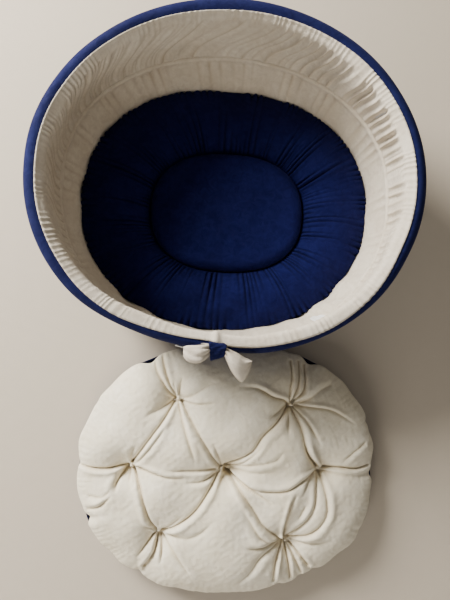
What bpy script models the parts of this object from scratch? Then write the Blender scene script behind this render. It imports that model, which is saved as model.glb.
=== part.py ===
"""Oval pet bed with a padded wall, a gathered floor and a loose tufted cushion in front of it.

Metres, +Z up. The origin is the middle of the bed's base, on the surface it stands on, and the bow is at -Y.
"""

import math

import bmesh
import bpy

# Shared by every piece
CLEARANCE = 0.0003  # between two pieces that touch
CLOTH = 0.0012  # thickness of the velvet and the plush
SEGMENTS = 36  # corners around each oval, a multiple of four
SHORTEST_MITRE = 0.6  # keeps the corners of an offset line from running out to a point
OVAL_POWER = 2.11  # 2 is an ellipse, more is squarer

# Bed floor, inside the wall
FLOOR_HALF_LENGTH = 0.2260
FLOOR_HALF_WIDTH = 0.1964
BASE_THICKNESS = 0.0020
FLOOR_HEIGHT = 0.0260
FLOOR_WALL_GAP = 0.0008
CENTRE_HALF_LENGTH = 0.1225
CENTRE_HALF_WIDTH = 0.0965
CENTRE_ACROSS = 0.0045
CENTRE_ALONG = -0.0090  # the panel is sewn in a little towards the front
CENTRE_POWER = 2.4
CENTRE_SEAM_GAP = 0.0010
RING_CREST_HEIGHT = 0.0360
RING_EDGE_HEIGHT = 0.0270

# Wall, as heights and as distances outward from the floor's oval
WALL_HEIGHT = 0.1810
WALL_FOOT_OUT = 0.0155
RIM_OUT = 0.0294
RIM_IN = -0.0005
RIM_ROLL_HEIGHT = 0.0150
MID_SEAM_HEIGHT = 0.0795
MID_SEAM_OUT = 0.0144
LINING_EDGE_HEIGHT = 0.0300
FRONT_DIP = 0.0180
WALL_BELLY_POWER = 0.9
PADDING_JOINT = 0.0020  # where the two ends of the padding meet, behind the bow
SIDE_STEPS = 4  # along each cover's side, between two seams or edges
ROLL_STEPS = 3  # along each half of the rim's roll
RING_STEPS = 4  # across the floor's gathered ring

# Bow
BOW_ACROSS = -0.0050
BOW_TURN = math.radians(52)  # round the rim's roll, from its outermost line towards its top
KNOT_WIDTH = 0.0190
KNOT_DEPTH = 0.0100
KNOT_HEIGHT = 0.0220
KNOT_EDGE_RADIUS = 0.0035
STRAP_WIDTH = 0.0160
STRAP_THICKNESS = 0.0015
STRAP_DROP = 0.0340  # from the top of the wall down to the strap's end
BACKING_THICKNESS = 0.0012
BACKING_SHARE = 0.92  # of its loop's height
LOOP_SIDES = 12
# Each loop as ovals of (reach beyond the knot's end, out, drop, half depth, half height).
# The left loop lies along the rim; the right loop hangs down over the outside.
LEFT_LOOP = (
    (0.0000, 0.0000, 0.0000, 0.0040, 0.0060),
    (0.0080, 0.0030, 0.0010, 0.0070, 0.0100),
    (0.0180, 0.0040, 0.0030, 0.0085, 0.0115),
    (0.0270, 0.0030, 0.0040, 0.0070, 0.0105),
    (0.0320, 0.0020, 0.0050, 0.0035, 0.0065),
)
RIGHT_LOOP = (
    (0.0000, 0.0000, 0.0000, 0.0040, 0.0060),
    (0.0042, 0.0020, 0.0070, 0.0055, 0.0085),
    (0.0092, 0.0035, 0.0130, 0.0070, 0.0130),
    (0.0162, 0.0040, 0.0200, 0.0080, 0.0170),
    (0.0242, 0.0040, 0.0270, 0.0075, 0.0185),
    (0.0292, 0.0030, 0.0240, 0.0060, 0.0120),
    (0.0337, 0.0020, 0.0160, 0.0030, 0.0035),
)

# Blank label on the wall
LABEL_WIDTH = 0.0220
LABEL_LENGTH = 0.0150
LABEL_THICKNESS = 0.0008
LABEL_ACROSS = -0.0500
LABEL_DROP = 0.0400
LABEL_TILT = math.radians(11)

# Cushion
CUSHION_HALF_LENGTH = 0.2248
CUSHION_HALF_WIDTH = 0.1836
CUSHION_POWER = 2.2
CUSHION_HEIGHT = 0.0580
CUSHION_SEAM_HEIGHT = 0.0240
CUSHION_CROWN_POWER = 2.6
CUSHION_FLAT_SHARE = 0.86  # of the underside that lies flat
CROWN_END = math.radians(78)  # how far up its curve the top's outermost flat begins
CROWN_STEPS = 5
UNDERSIDE_STEPS = 3
CUSHION_GAP_TO_BED = 0.0056  # from the foot of the wall
CUSHION_ACROSS = 0.0205
CUSHION_TURN = math.radians(2.6)

# Tufts: a row of two, a row of three and a row of two
PAIR_SPACING = 0.1800
TRIO_SPACING = 0.1430
TUFT_ROW_SPACING = 0.0975
TUFT_SHIFT = -0.0030  # of the rows, along the cushion's width
TUFT_ROWS = ((1, 2, PAIR_SPACING), (0, 3, TRIO_SPACING), (-1, 2, PAIR_SPACING))
THREAD_WIDTH = 0.0024
BAR_LENGTH = 0.0120
BAR_THICKNESS = 0.0010
THREAD_CLEARANCE = 0.0005

# Colours
NAVY = (0.012, 0.030, 0.170)
CREAM = (0.820, 0.760, 0.660)
WADDING = (0.860, 0.860, 0.840)


def clear_scene():
    for item in list(bpy.data.objects):
        bpy.data.objects.remove(item, do_unlink=True)


# ---------------------------------------------------------------- shared tools


def cloth_material(name, colour):
    material = bpy.data.materials.new(name)
    material.use_nodes = True
    shader = material.node_tree.nodes["Principled BSDF"]
    shader.inputs["Base Color"].default_value = (*colour, 1.0)
    shader.inputs["Roughness"].default_value = 0.9
    return material


def add_object(name, mesh, colour, parent=None, location=(0, 0, 0)):
    """Turns a finished bmesh into a named, smoothly shaded object."""
    bmesh.ops.recalc_face_normals(mesh, faces=mesh.faces)
    data = bpy.data.meshes.new(name)
    mesh.to_mesh(data)
    mesh.free()
    data.shade_smooth()
    data.set_sharp_from_angle(angle=math.radians(40))
    data.materials.append(cloth_material(name, colour))
    piece = bpy.data.objects.new(name, data)
    piece.location = location
    piece.parent = parent
    bpy.context.collection.objects.link(piece)
    return piece


def front_share(turn):
    """1 at the front of the bed, 0 from the sides backwards."""
    return max(0.0, -math.sin(turn)) ** 3


def oval(half_length, half_width, height, power=OVAL_POWER, dipped=False):
    """Corners of a level oval; a dipped one comes down at the front in proportion to its height."""
    corners = []
    for step in range(SEGMENTS):
        turn = math.tau * step / SEGMENTS
        x = half_length * math.copysign(abs(math.cos(turn)) ** (2 / power), math.cos(turn))
        y = half_width * math.copysign(abs(math.sin(turn)) ** (2 / power), math.sin(turn))
        dip = FRONT_DIP / WALL_HEIGHT * front_share(turn) if dipped else 0.0
        corners.append((x, y, height * (1 - dip)))
    return corners


def loft(loops, ring=False):
    """Skins each loop to the next. A ring joins its last loop to its first; otherwise both ends close."""
    mesh = bmesh.new()
    rows = [[mesh.verts.new(corner) for corner in loop] for loop in loops]
    followers = rows[1:] + rows[:1] if ring else rows[1:]
    for row, follower in zip(rows, followers):
        for index, corner in enumerate(row):
            mesh.faces.new((row[index - 1], corner, follower[index], follower[index - 1]))
    if not ring:
        mesh.faces.new(rows[0])
        mesh.faces.new(rows[-1])
    return mesh


def offset_line(line, distance, end_normals=(None, None)):
    """The line of (out, height) points moved to its left by the distance."""
    moved = []
    last = len(line) - 1
    for index, (out, height) in enumerate(line):
        before = line[max(index - 1, 0)]
        after = line[min(index + 1, last)]
        first, second = unit(before, (out, height)), unit((out, height), after)
        along = (first[0] + second[0], first[1] + second[1])
        size = math.hypot(*along)
        normal = (-along[1] / size, along[0] / size)
        stretch = 1 / max(SHORTEST_MITRE, size / 2 if first != (0, 0) and second != (0, 0) else 1)
        if index == 0 and end_normals[0]:
            normal, stretch = end_normals[0], 1
        if index == last and end_normals[1]:
            normal, stretch = end_normals[1], 1
        moved.append((out + normal[0] * distance * stretch, height + normal[1] * distance * stretch))
    return moved


def unit(start, end):
    length = math.dist(start, end)
    if length == 0:
        return (0, 0)
    return ((end[0] - start[0]) / length, (end[1] - start[1]) / length)


def sweep(section, dipped=True):
    """A closed section of (out, height) points carried around the floor's oval."""
    return loft(
        [
            oval(FLOOR_HALF_LENGTH + out, FLOOR_HALF_WIDTH + out, height, dipped=dipped)
            for out, height in section
        ],
        ring=True,
    )


def ease(share):
    return (1 - math.cos(math.pi * share)) / 2


def spread(low, high, share):
    return low + (high - low) * share


# ---------------------------------------------------------------- the wall's outline


def lower_lining_line():
    """From the wall's inner foot up to the middle seam."""
    foot = BASE_THICKNESS + CLEARANCE
    line = [(0.0, foot), (0.0, spread(foot, LINING_EDGE_HEIGHT, 0.6))]
    for step in range(SIDE_STEPS):
        share = step / SIDE_STEPS
        height = spread(LINING_EDGE_HEIGHT, MID_SEAM_HEIGHT, share)
        line.append((MID_SEAM_OUT * ease(share), height))
    return line


def upper_lining_line():
    """From the middle seam up and over the inner half of the rim, to its top."""
    roll_foot = WALL_HEIGHT - RIM_ROLL_HEIGHT
    line = []
    for step in range(SIDE_STEPS):
        share = step / SIDE_STEPS
        height = spread(MID_SEAM_HEIGHT, roll_foot, share)
        line.append((spread(MID_SEAM_OUT, RIM_IN, ease(share)), height))
    return line + rim_arc(math.pi, math.pi / 2, ROLL_STEPS)


def outer_line():
    """From the top of the rim over its outer half and down to the wall's outer foot."""
    roll_foot = WALL_HEIGHT - RIM_ROLL_HEIGHT
    foot = BASE_THICKNESS + CLEARANCE
    line = rim_arc(math.pi / 2, 0, ROLL_STEPS)
    for step in range(SIDE_STEPS):
        share = 1 - (step + 1) / SIDE_STEPS
        out = spread(WALL_FOOT_OUT, RIM_OUT, share**WALL_BELLY_POWER)
        line.append((out, spread(foot, roll_foot, share)))
    return line


def rim_arc(start, end, steps):
    middle, reach = (RIM_IN + RIM_OUT) / 2, (RIM_OUT - RIM_IN) / 2
    arc = []
    for step in range(steps + 1):
        turn = spread(start, end, step / steps)
        height = WALL_HEIGHT - RIM_ROLL_HEIGHT * (1 - math.sin(turn))
        arc.append((middle + reach * math.cos(turn), height))
    return arc


def wall_line():
    """The whole outline, and where the middle seam and the rim seam fall in it."""
    lower, upper, outer = lower_lining_line(), upper_lining_line(), outer_line()
    line = lower + upper + outer[1:]
    return line, len(lower), len(lower) + len(upper) - 1


LEVEL_ENDS = ((-1, 0), (1, 0))  # an offset line's two ends moved level


def wall_skin(first, last, trim_first, trim_last):
    """Cloth on part of the wall's outline; a trimmed end leaves half a clearance at its seam."""
    line = wall_line()[0]
    inside = offset_line(line, -CLOTH, LEVEL_ENDS)
    face, back = line[first : last + 1], inside[first : last + 1]
    for side in (face, back):
        if trim_first:
            side[0] = shortened(side[0], side[1])
        if trim_last:
            side[-1] = shortened(side[-1], side[-2])
    return sweep(face + back[::-1])


def shortened(end, neighbour):
    along = unit(end, neighbour)
    return (end[0] + along[0] * CLEARANCE, end[1] + along[1] * CLEARANCE)


def make_wall():
    line, mid_seam, rim_seam = wall_line()
    add_object("lining_lower_band", wall_skin(0, mid_seam, False, True), CREAM)
    add_object("lining_upper_band", wall_skin(mid_seam, rim_seam, True, True), CREAM)
    add_object("outer_wall_cover", wall_skin(rim_seam, len(line) - 1, True, False), NAVY)
    padding = add_object(
        "wall_padding", sweep(offset_line(line, -CLOTH - CLEARANCE, LEVEL_ENDS)), WADDING
    )
    cutter = block(
        "padding_joint_cutter",
        (PADDING_JOINT, 4 * (RIM_OUT - RIM_IN), 2 * WALL_HEIGHT),
        (BOW_ACROSS, -FLOOR_HALF_WIDTH - MID_SEAM_OUT, WALL_HEIGHT / 2),
    )
    cut(padding, cutter)


def block(name, size, location, parent=None):
    """A cutter: it shapes other pieces and isn't one itself."""
    mesh = bmesh.new()
    bmesh.ops.create_cube(mesh, size=1.0)
    bmesh.ops.scale(mesh, vec=size, verts=mesh.verts)
    bmesh.ops.translate(mesh, vec=location, verts=mesh.verts)
    cutter = add_object(name, mesh, WADDING, parent=parent)
    cutter.hide_render = True
    cutter.display_type = "WIRE"
    return cutter


def cut(piece, cutter):
    boolean = piece.modifiers.new("cut_" + cutter.name, "BOOLEAN")
    boolean.operation = "DIFFERENCE"
    boolean.solver = "EXACT"
    boolean.object = cutter


# ---------------------------------------------------------------- base and floor


def make_base():
    footprint = (FLOOR_HALF_LENGTH + WALL_FOOT_OUT, FLOOR_HALF_WIDTH + WALL_FOOT_OUT)
    add_object("base_cloth", loft([oval(*footprint, 0.0), oval(*footprint, BASE_THICKNESS)]), NAVY)


def ring_loop(share, height, inset=0.0):
    """An oval between the centre panel's seam (0) and the wall (1), moved in from both by the inset."""
    seam = CENTRE_SEAM_GAP + inset
    edge = -FLOOR_WALL_GAP - inset
    half_length = spread(CENTRE_HALF_LENGTH + seam, FLOOR_HALF_LENGTH + edge, share)
    half_width = spread(CENTRE_HALF_WIDTH + seam, FLOOR_HALF_WIDTH + edge, share)
    loop = oval(half_length, half_width, height, spread(CENTRE_POWER, OVAL_POWER, share))
    return towards_centre(loop, 1 - share)


def towards_centre(loop, share=1.0):
    """The loop moved towards the centre panel's own middle, wholly at 1."""
    return [(x + share * CENTRE_ACROSS, y + share * CENTRE_ALONG, z) for x, y, z in loop]


def ring_height(share):
    """The gathered ring puffs up between the centre seam and the wall."""
    low = spread(FLOOR_HEIGHT, RING_EDGE_HEIGHT, share)
    return low + (RING_CREST_HEIGHT - FLOOR_HEIGHT) * math.sin(math.pi * share)


def make_floor():
    foot = BASE_THICKNESS + CLEARANCE
    shares = [step / RING_STEPS for step in range(RING_STEPS + 1)]
    inset = CLOTH + CLEARANCE
    skin = [ring_loop(share, ring_height(share)) for share in shares]
    skin += [ring_loop(1, foot), ring_loop(1, foot, CLOTH)]
    skin += [ring_loop(share, ring_height(share) - CLOTH, CLOTH) for share in reversed(shares)]
    skin += [ring_loop(0, foot, CLOTH), ring_loop(0, foot)]
    add_object("floor_gathered_ring", loft(skin, ring=True), NAVY)
    filling = [ring_loop(share, ring_height(share) - inset, inset) for share in shares]
    filling += [ring_loop(1, foot, inset), ring_loop(0, foot, inset)]
    add_object("floor_ring_filling", loft(filling, ring=True), WADDING)
    panel = centre_loops(FLOOR_HEIGHT, 0.0, foot) + centre_loops(FLOOR_HEIGHT - CLOTH, CLOTH, foot)[::-1]
    add_object("floor_centre_panel", loft(panel), NAVY)
    core = centre_loops(FLOOR_HEIGHT - inset, inset, foot)
    add_object("floor_centre_filling", loft(core), WADDING)


def centre_loops(top, inset, foot):
    """The flat middle of the floor, from its top down its side."""
    size = (CENTRE_HALF_LENGTH - inset, CENTRE_HALF_WIDTH - inset)
    shoulder = 2 * CLOTH
    loops = [
        oval(size[0] - shoulder, size[1] - shoulder, top, CENTRE_POWER),
        oval(*size, top - shoulder, CENTRE_POWER),
        oval(*size, foot, CENTRE_POWER),
    ]
    return [towards_centre(loop) for loop in loops]


# ---------------------------------------------------------------- bow and label


def front_height(height):
    """A height on the wall as it is at the bow, where the rim dips."""
    return height * (1 - FRONT_DIP / WALL_HEIGHT)


def roll_seat(turn, distance):
    """A place that far off the front of the rim's roll, as (y, z), and its outward direction's rise."""
    out, height = rim_arc(turn, turn, 1)[0]
    rise = math.atan2(
        math.sin(turn) / front_height(RIM_ROLL_HEIGHT), math.cos(turn) / ((RIM_OUT - RIM_IN) / 2)
    )
    y = -(FLOOR_HALF_WIDTH + out + distance * math.cos(rise))
    return y, front_height(height) + distance * math.sin(rise), rise


def bow_loop(name, side, sections, anchor, colour, behind=None):
    """A rounded loop through its oval sections, from the knot's end.

    With a gap given as behind, it is instead the thin backing that far behind the loop."""
    start = KNOT_WIDTH / 2 + CLEARANCE
    loops = []
    for reach, out, drop, half_depth, half_height in sections:
        middle, deep, tall = -out, half_depth, half_height
        if behind is not None:
            deep, tall = BACKING_THICKNESS / 2, half_height * BACKING_SHARE
            middle = half_depth - out + behind + deep
        loop = []
        for step in range(LOOP_SIDES):
            turn = math.tau * step / LOOP_SIDES
            y, z = middle + deep * math.cos(turn), -drop + tall * math.sin(turn)
            loop.append((side * (start + reach), y, z))
        loops.append(loop)
    return add_object(name, loft(loops), colour, parent=anchor)


def make_bow():
    """The bow sits on the rim's roll: its own axes are across, out from the roll, and along it."""
    anchor = bpy.data.objects.new("bow_anchor", None)
    y, z, rise = roll_seat(BOW_TURN, STRAP_THICKNESS + 2 * CLEARANCE + KNOT_DEPTH / 2)
    anchor.location = (BOW_ACROSS, y, z)
    anchor.rotation_euler.x = -rise
    bpy.context.collection.objects.link(anchor)
    knot = bmesh.new()
    bmesh.ops.create_cube(knot, size=1.0)
    bmesh.ops.scale(knot, vec=(KNOT_WIDTH, KNOT_DEPTH, KNOT_HEIGHT), verts=knot.verts)
    knot = add_object("bow_knot", knot, NAVY, parent=anchor)
    soften(knot, KNOT_EDGE_RADIUS, 3)
    for name, side, sections in (("left", -1, LEFT_LOOP), ("right", 1, RIGHT_LOOP)):
        bow_loop(f"bow_{name}_loop", side, sections, anchor, CREAM)
        bow_loop(f"bow_{name}_backing", side, sections, anchor, NAVY, behind=CLEARANCE)
    make_strap()


def soften(piece, width, segments):
    bevel = piece.modifiers.new("soft_edges", "BEVEL")
    bevel.width = width
    bevel.segments = segments
    bevel.limit_method = "ANGLE"


def make_strap():
    """Runs from the rim's seam over its roll, behind the knot and down the wall."""
    strip = [point for point in outer_line() if point[1] > WALL_HEIGHT - STRAP_DROP][1:]
    near = offset_line(strip, CLEARANCE)
    far = offset_line(strip, CLEARANCE + STRAP_THICKNESS)
    mesh = bmesh.new()
    section = [(-FLOOR_HALF_WIDTH - out, front_height(height)) for out, height in near + far[::-1]]
    side = [mesh.verts.new((BOW_ACROSS - STRAP_WIDTH / 2, y, z)) for y, z in section]
    face = mesh.faces.new(side)
    grown = bmesh.ops.extrude_face_region(mesh, geom=[face])
    moved = [item for item in grown["geom"] if isinstance(item, bmesh.types.BMVert)]
    bmesh.ops.translate(mesh, vec=(STRAP_WIDTH, 0, 0), verts=moved)
    add_object("bow_strap", mesh, NAVY)


def make_label():
    """A small blank label sewn to the wall by its top edge, its lower edge standing out."""
    half_length, half_width = FLOOR_HALF_LENGTH + RIM_OUT, FLOOR_HALF_WIDTH + RIM_OUT
    along = math.sqrt(1 - (LABEL_ACROSS / half_length) ** 2)
    slope = half_width / half_length**2 * LABEL_ACROSS / along
    mesh = bmesh.new()
    bmesh.ops.create_cube(mesh, size=1.0)
    bmesh.ops.scale(mesh, vec=(LABEL_WIDTH, LABEL_THICKNESS, LABEL_LENGTH), verts=mesh.verts)
    bmesh.ops.translate(mesh, vec=(0, -LABEL_THICKNESS, -LABEL_LENGTH / 2), verts=mesh.verts)
    label = add_object("side_label", mesh, CREAM)
    label.location = (LABEL_ACROSS, -half_width * along, front_height(WALL_HEIGHT) - LABEL_DROP)
    label.rotation_euler = (-LABEL_TILT, 0, math.atan(slope))


# ---------------------------------------------------------------- cushion


def cushion_top_line():
    """(share of the half size, height) from the edge seam up to the crown."""
    rise = CUSHION_HEIGHT - CUSHION_SEAM_HEIGHT
    line = []
    for step in range(CROWN_STEPS + 1):
        turn = CROWN_END * step / CROWN_STEPS
        share = math.cos(turn) ** (2 / CUSHION_CROWN_POWER)
        line.append((share, CUSHION_SEAM_HEIGHT + rise * math.sin(turn) ** (2 / CUSHION_CROWN_POWER)))
    return line


def cushion_bottom_line():
    """(share of the half size, height) from the edge seam down to the flat underside."""
    line = []
    for step in range(UNDERSIDE_STEPS + 1):
        turn = math.pi / 2 * step / UNDERSIDE_STEPS
        share = spread(CUSHION_FLAT_SHARE, 1, math.cos(turn))
        line.append((share, CUSHION_SEAM_HEIGHT * (1 - math.sin(turn))))
    return line


def cushion_loops(line, inset, upward):
    """Ovals through the line, moved inward by the inset at right angles to the cushion's surface."""
    middle = (CUSHION_HALF_LENGTH + CUSHION_HALF_WIDTH) / 2
    flat = [(share * middle, height) for share, height in line]
    if upward:
        moved = offset_line(flat, inset, ((-1, 0), (0, -1)))
    else:
        moved = offset_line(flat, -inset, ((1, 0), (0, -1)))
    loops = []
    for (share, _), (before, _), (after, height) in zip(line, flat, moved):
        growth = after - before
        size = (CUSHION_HALF_LENGTH * share + growth, CUSHION_HALF_WIDTH * share + growth)
        loops.append(oval(*size, height, CUSHION_POWER))
    return loops


def shifted(loops, rise):
    """The first loop of a cover, at the seam, moved to leave half a clearance."""
    first = [(x, y, z + rise) for x, y, z in loops[0]]
    return [first] + loops[1:]


def make_cushion():
    anchor = bpy.data.objects.new("cushion_anchor", None)
    forward = FLOOR_HALF_WIDTH + WALL_FOOT_OUT + CUSHION_GAP_TO_BED + CUSHION_HALF_WIDTH
    anchor.location = (CUSHION_ACROSS, -forward, 0)
    anchor.rotation_euler = (0, 0, CUSHION_TURN)
    bpy.context.collection.objects.link(anchor)
    top, bottom = cushion_top_line(), cushion_bottom_line()
    half_gap = CLEARANCE / 2
    top_face = shifted(cushion_loops(top, 0.0, True), half_gap)
    top_back = shifted(cushion_loops(top, CLOTH, True), half_gap)
    bottom_face = shifted(cushion_loops(bottom, 0.0, False), -half_gap)
    bottom_back = shifted(cushion_loops(bottom, CLOTH, False), -half_gap)
    core_top = cushion_loops(top, CLOTH + CLEARANCE, True)
    core_bottom = cushion_loops(bottom, CLOTH + CLEARANCE, False)
    pieces = (
        ("cushion_top_cover", top_face[::-1] + top_back, CREAM),
        ("cushion_underside_cover", bottom_face[::-1] + bottom_back, NAVY),
        ("cushion_filling", core_top[::-1] + core_bottom[1:], WADDING),
    )
    thread_holes, bar_recesses = make_tufts(anchor, top)
    for name, loops, colour in pieces:
        piece = add_object(name, loft(loops), colour, parent=anchor)
        cut(piece, thread_holes)
        if name != "cushion_top_cover":
            cut(piece, bar_recesses)


def tuft_places():
    places = []
    for row, count, spacing in TUFT_ROWS:
        for index in range(count):
            across = spacing * (index - (count - 1) / 2)
            places.append((across, TUFT_ROW_SPACING * row + TUFT_SHIFT))
    return places


def crown_height(top, x, y):
    """Height of the cushion's top at a point, read between the loops of its outline."""
    power = CUSHION_POWER
    total = abs(x / CUSHION_HALF_LENGTH) ** power + abs(y / CUSHION_HALF_WIDTH) ** power
    share = total ** (1 / power)
    for (outer, low), (inner, high) in zip(top, top[1:]):
        if inner <= share <= outer:
            return spread(low, high, (outer - share) / (outer - inner))
    return top[-1][1]


def make_tufts(anchor, top):
    """Each tuft is a thread through the cushion, with a bar-tack lying across each end of it."""
    holes, recesses = bmesh.new(), bmesh.new()
    for number, (x, y) in enumerate(tuft_places(), 1):
        ends = [
            (x + side * BAR_LENGTH / 2, y + edge * THREAD_WIDTH / 2)
            for side in (-1, 1)
            for edge in (-1, 1)
        ]
        seat = max(crown_height(top, *end) for end in ends) + CLEARANCE
        add_object(f"tuft_stitch_{number}", stitch(x, y, seat), CREAM, parent=anchor)
        wide = THREAD_WIDTH + 2 * THREAD_CLEARANCE
        add_box(holes, (x, y, CUSHION_HEIGHT / 2), (wide, wide, 2 * CUSHION_HEIGHT))
        recess = (BAR_LENGTH + 2 * THREAD_CLEARANCE, wide, 2 * (BAR_THICKNESS + 2 * CLEARANCE))
        add_box(recesses, (x, y, 0), recess)
    cutters = []
    for name, mesh in (("thread_holes_cutter", holes), ("bar_recesses_cutter", recesses)):
        cutter = add_object(name, mesh, WADDING, parent=anchor)
        cutter.hide_render = True
        cutter.display_type = "WIRE"
        cutters.append(cutter)
    return cutters


def add_box(mesh, centre, size):
    made = bmesh.ops.create_cube(mesh, size=1.0)["verts"]
    bmesh.ops.scale(mesh, vec=size, verts=made)
    bmesh.ops.translate(mesh, vec=centre, verts=made)


def stitch(x, y, seat):
    """An I-shaped outline, extruded to the thread's width."""
    half_bar, half_thread = BAR_LENGTH / 2, THREAD_WIDTH / 2
    low = CLEARANCE
    right = [
        (half_bar, low),
        (half_bar, low + BAR_THICKNESS),
        (half_thread, low + BAR_THICKNESS),
        (half_thread, seat),
        (half_bar, seat),
        (half_bar, seat + BAR_THICKNESS),
    ]
    outline = right + [(-across, height) for across, height in reversed(right)]
    mesh = bmesh.new()
    face = mesh.faces.new([mesh.verts.new((x + across, y - half_thread, height)) for across, height in outline])
    grown = bmesh.ops.extrude_face_region(mesh, geom=[face])
    moved = [item for item in grown["geom"] if isinstance(item, bmesh.types.BMVert)]
    bmesh.ops.translate(mesh, vec=(0, THREAD_WIDTH, 0), verts=moved)
    return mesh


def main():
    clear_scene()
    make_base()
    make_floor()
    make_wall()
    make_bow()
    make_label()
    make_cushion()


main()
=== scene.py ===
import math

import bmesh
import bpy
import numpy as np
from mathutils import Matrix, Vector


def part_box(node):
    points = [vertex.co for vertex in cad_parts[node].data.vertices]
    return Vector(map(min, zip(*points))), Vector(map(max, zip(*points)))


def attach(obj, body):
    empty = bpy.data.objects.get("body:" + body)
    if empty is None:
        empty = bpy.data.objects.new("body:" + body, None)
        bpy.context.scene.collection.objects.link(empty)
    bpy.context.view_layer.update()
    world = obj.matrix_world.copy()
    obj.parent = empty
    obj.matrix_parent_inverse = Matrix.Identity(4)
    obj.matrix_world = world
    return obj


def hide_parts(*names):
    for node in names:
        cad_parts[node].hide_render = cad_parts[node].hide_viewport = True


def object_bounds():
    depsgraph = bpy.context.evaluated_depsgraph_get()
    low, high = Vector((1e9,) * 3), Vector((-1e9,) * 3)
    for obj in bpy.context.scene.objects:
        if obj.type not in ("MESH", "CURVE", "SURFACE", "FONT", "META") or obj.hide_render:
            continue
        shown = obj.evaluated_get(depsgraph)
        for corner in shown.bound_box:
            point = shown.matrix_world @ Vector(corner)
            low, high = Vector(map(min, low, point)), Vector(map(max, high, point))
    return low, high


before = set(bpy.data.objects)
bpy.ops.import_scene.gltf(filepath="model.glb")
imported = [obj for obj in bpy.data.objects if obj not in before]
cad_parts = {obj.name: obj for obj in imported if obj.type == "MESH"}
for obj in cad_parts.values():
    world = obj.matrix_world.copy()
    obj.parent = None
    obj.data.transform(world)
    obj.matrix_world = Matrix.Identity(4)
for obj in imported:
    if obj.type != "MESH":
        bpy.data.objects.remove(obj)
cad_low, cad_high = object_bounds()

# ---------------------------------------------------------------- measures, in metres, from the frame

CLOTH = 0.0012
OVAL_POWER = 2.11
CENTRE_POWER = 2.4
CUSHION_POWER = 2.2
TURN = math.tau


def half_size(node):
    low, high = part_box(node)
    return (high - low) / 2


def middle(node):
    low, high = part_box(node)
    return (high + low) / 2


FLOOR = half_size("floor_gathered_ring") + Vector((0.0008, 0.0008, 0))
RIM_OUT = half_size("outer_wall_cover").x - FLOOR.x
FOOT_OUT = half_size("base_cloth").x - FLOOR.x
MID_OUT = half_size("lining_lower_band").x - FLOOR.x - CLOTH
MID_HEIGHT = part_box("lining_lower_band")[1].z
WALL_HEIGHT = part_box("lining_upper_band")[1].z
ROLL_HEIGHT = 0.015
RIM_IN = -0.0005
FRONT_DIP = WALL_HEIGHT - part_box("bow_strap")[1].z + 0.0018
BASE_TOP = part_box("base_cloth")[1].z
CENTRE = half_size("floor_centre_panel")
CENTRE_SPOT = middle("floor_centre_panel")
FLOOR_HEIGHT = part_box("floor_centre_panel")[1].z
RING_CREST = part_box("floor_gathered_ring")[1].z
BOW = middle("bow_knot")
BOW_TURN = math.radians(52)  # round the rim's roll, from its outermost line towards its top
KNOT_HALF = Vector((half_size("bow_knot").x, 0.0050, 0.0110))
CUSHION = half_size("cushion_top_cover")
CUSHION_SPOT = middle("cushion_top_cover")
CUSHION_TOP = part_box("cushion_filling")[1].z + CLOTH
CUSHION_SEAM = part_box("cushion_top_cover")[0].z
TUFTS = [middle(f"tuft_stitch_{number}") for number in range(1, 8)]
CUSHION_TURN = math.atan2(TUFTS[4].y - TUFTS[2].y, TUFTS[4].x - TUFTS[2].x)

# ---------------------------------------------------------------- shared tools


def smooth(value, start, end):
    """0 at the start, 1 at the end, eased between them."""
    share = np.clip((value - start) / (end - start), 0, 1)
    return share * share * (3 - 2 * share)


def near(angle, centre, width):
    """1 at the centre, in degrees, fading round the oval over about the width."""
    away = (np.degrees(angle) - centre + 180) % 360 - 180
    return np.exp(-((away / width) ** 2))


def ripple(angle, lowest, highest, seed, waves=16):
    """Smooth random values of about unit size that close up around the oval."""
    draw = np.random.default_rng(seed)
    total = 0
    for _ in range(waves):
        total = total + np.sin(draw.integers(lowest, highest + 1) * angle + draw.uniform(0, TURN))
    return total / math.sqrt(waves / 2)


def swirl(x, y, shortest, longest, seed, waves=24):
    """Smooth random values of about unit size over a plane, with these wavelengths."""
    draw = np.random.default_rng(seed)
    total = 0
    for _ in range(waves):
        heading = draw.uniform(0, TURN)
        pace = TURN / draw.uniform(shortest, longest)
        total = total + np.sin(pace * (x * math.cos(heading) + y * math.sin(heading)) + draw.uniform(0, TURN))
    return total / math.sqrt(waves / 2)


def keyed(angle, keys, blur=5.0, unit=1000):
    """Values round the oval through (degrees, value) keys, eased over the blur, and divided by the unit.

    The values are in millimetres, which the usual unit turns into metres."""
    places, values = zip(*keys)
    steps = 720
    ring = np.arange(steps) * 360 / steps
    rough = np.interp(ring, places, values, period=360)
    bell = np.exp(-((np.minimum(ring, 360 - ring) / blur) ** 2))
    eased = np.fft.irfft(np.fft.rfft(rough) * np.fft.rfft(bell / bell.sum()), steps)
    return np.interp(np.degrees(angle) % 360, ring, eased, period=360) / unit


def pleat(phase, softness=0.25):
    """A gathered wave: rounded ridges with tight valleys, about -0.5 to 0.5."""
    return np.sqrt(np.sin(phase / 2) ** 2 + softness**2) - 0.5 - softness / 2


def oval(half_x, half_y, angle, power):
    """A point of the superellipse and its level outward direction."""
    c, s = np.cos(angle), np.sin(angle)
    x = half_x * np.sign(c) * np.abs(c) ** (2 / power)
    y = half_y * np.sign(s) * np.abs(s) ** (2 / power)
    out_x, out_y = c / FLOOR.x, s / FLOOR.y
    size = np.hypot(out_x, out_y)
    return x, y, out_x / size, out_y / size


def grid(rows, columns, first=0.0):
    """Shares from the first row (0 unless given) to 1, and angles round a full turn."""
    return np.linspace(first, 1, rows)[:, None], np.linspace(0, TURN, columns, endpoint=False)[None, :]


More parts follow.
